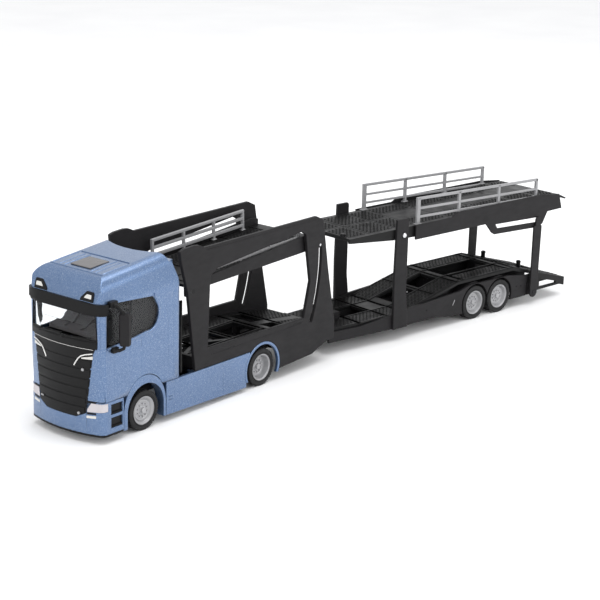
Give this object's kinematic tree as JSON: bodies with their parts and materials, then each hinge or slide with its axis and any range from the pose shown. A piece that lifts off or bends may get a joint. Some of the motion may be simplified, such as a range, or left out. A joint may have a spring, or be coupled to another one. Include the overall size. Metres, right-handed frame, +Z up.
{
  "type": "toy articulated car transporter truck",
  "caption": "Toy articulated car transporter: two-axle truck with hinged upper deck, pivoted low trailer with hinged upper deck on swinging props.",
  "frame": {"origin": "on the ground under the middle of the model's outline, with the trailer swung as it stands", "axes": "+X towards the truck's front, +Y towards its left side, +Z up"},
  "size_m": [0.4086, 0.0892, 0.0906],
  "materials": {
    "blue_paint": "metallic blue lacquer",
    "clear_plastic": "clear moulded window",
    "dark_interior": "dark moulded interior",
    "black_plastic": "satin black moulding",
    "lamp_lens": "pale lamp lens",
    "smoked_hatch": "smoked hatch cover",
    "charcoal_plastic": "charcoal moulded plastic",
    "grey_plastic": "grey moulded plastic",
    "rim_plastic": "silver-grey moulded rim",
    "steel_pin": "steel pin",
    "tyre": "black rubber"
  },
  "bodies": {
    "truck": {"cab_shell": "blue_paint", "front_bumper": "blue_paint", "cab_glazing": "clear_plastic", "cab_interior": "dark_interior", "sun_visor": "black_plastic", "grille": "black_plastic", "headlights": "lamp_lens", "marker_lamps": "lamp_lens", "roof_hatch": "smoked_hatch", "mirror_left": "black_plastic", "mirror_right": "black_plastic", "front_arches": "blue_paint", "truck_chassis": "charcoal_plastic", "side_skirts": "blue_paint", "rear_arch_trims": "blue_paint", "side_frame_left": "charcoal_plastic", "side_frame_right": "charcoal_plastic", "truck_lower_deck": "charcoal_plastic", "frame_crossbeams": "charcoal_plastic"},
    "truck_deck": {"truck_upper_deck": "charcoal_plastic", "truck_deck_band_left": "charcoal_plastic", "truck_deck_band_right": "charcoal_plastic", "truck_deck_rails": "grey_plastic", "truck_deck_pins": "steel_pin"},
    "front_wheels": {"front_tyre_left": "tyre", "front_tyre_right": "tyre", "front_rims": "rim_plastic", "front_axle": "steel_pin"},
    "rear_wheels": {"rear_tyre_left": "tyre", "rear_tyre_right": "tyre", "rear_rims": "rim_plastic", "rear_axle": "steel_pin"},
    "trailer": {"trailer_skirt_left": "charcoal_plastic", "trailer_skirt_right": "charcoal_plastic", "trailer_well_floor": "charcoal_plastic", "trailer_hump_floor": "charcoal_plastic", "trailer_tongue": "charcoal_plastic", "trailer_chassis": "charcoal_plastic", "trailer_fenders": "charcoal_plastic", "trailer_front_posts": "charcoal_plastic", "rear_ramp": "charcoal_plastic", "prop_pins": "charcoal_plastic"},
    "trailer_deck": {"trailer_upper_deck": "charcoal_plastic", "trailer_beam_left": "charcoal_plastic", "trailer_beam_right": "charcoal_plastic", "guard_rail_left": "grey_plastic", "guard_rail_right": "grey_plastic", "trailer_deck_pins": "steel_pin"},
    "prop_left": {"prop_left": "charcoal_plastic"},
    "prop_right": {"prop_right": "charcoal_plastic"},
    "bogie_front_wheels": {"bogie_front_tyre_left": "tyre", "bogie_front_tyre_right": "tyre", "bogie_front_rims": "rim_plastic", "bogie_front_axle": "steel_pin"},
    "bogie_rear_wheels": {"bogie_rear_tyre_left": "tyre", "bogie_rear_tyre_right": "tyre", "bogie_rear_rims": "rim_plastic", "bogie_rear_axle": "steel_pin"}
  },
  "joints": [
    {"name": "front_wheels_roll", "type": "hinge", "parent": "truck", "child": "front_wheels", "pos_m": [0.16973, -0.01044, 0.0106], "axis": [0, 1, 0], "continuous": true},
    {"name": "rear_wheels_roll", "type": "hinge", "parent": "truck", "child": "rear_wheels", "pos_m": [0.07673, -0.01044, 0.0106], "axis": [0, 1, 0], "continuous": true},
    {"name": "truck_deck_hinge", "type": "hinge", "parent": "truck", "child": "truck_deck", "pos_m": [0.13403, -0.01044, 0.0663], "axis": [0, -1, 0], "range_deg": [0, 23.5]},
    {"name": "trailer_pivot", "type": "hinge", "parent": "truck", "child": "trailer", "pos_m": [0.01353, -0.01044, 0.012], "axis": [0, 0, 1], "range_deg": [-17.8, 34.2]},
    {"name": "bogie_front_wheels_roll", "type": "hinge", "parent": "trailer", "child": "bogie_front_wheels", "pos_m": [-0.11327, 0.00783, 0.0106], "axis": [0.1426, 0.9898, 0], "continuous": true},
    {"name": "bogie_rear_wheels_roll", "type": "hinge", "parent": "trailer", "child": "bogie_rear_wheels", "pos_m": [-0.13613, 0.01113, 0.0106], "axis": [0.1426, 0.9898, 0], "continuous": true},
    {"name": "trailer_deck_hinge", "type": "hinge", "parent": "trailer", "child": "trailer_deck", "pos_m": [-0.04566, -0.00191, 0.065], "axis": [-0.1426, -0.9898, 0], "range_deg": [0, 18.2]},
    {"name": "prop_left_swing", "type": "hinge", "parent": "trailer", "child": "prop_left", "pos_m": [-0.16261, 0.04192, 0.0085], "axis": [0.1426, 0.9898, 0], "range_deg": [0, 61.33]},
    {"name": "prop_right_swing", "type": "hinge", "parent": "trailer", "child": "prop_right", "pos_m": [-0.17022, -0.01094, 0.0085], "axis": [0.1426, 0.9898, 0], "range_deg": [0, 61.33]}
  ],
  "couplings": [
    {"joint": "prop_left_swing", "follows": "trailer_deck_hinge", "ratio": 3.37},
    {"joint": "prop_right_swing", "follows": "trailer_deck_hinge", "ratio": 3.37}
  ]
}
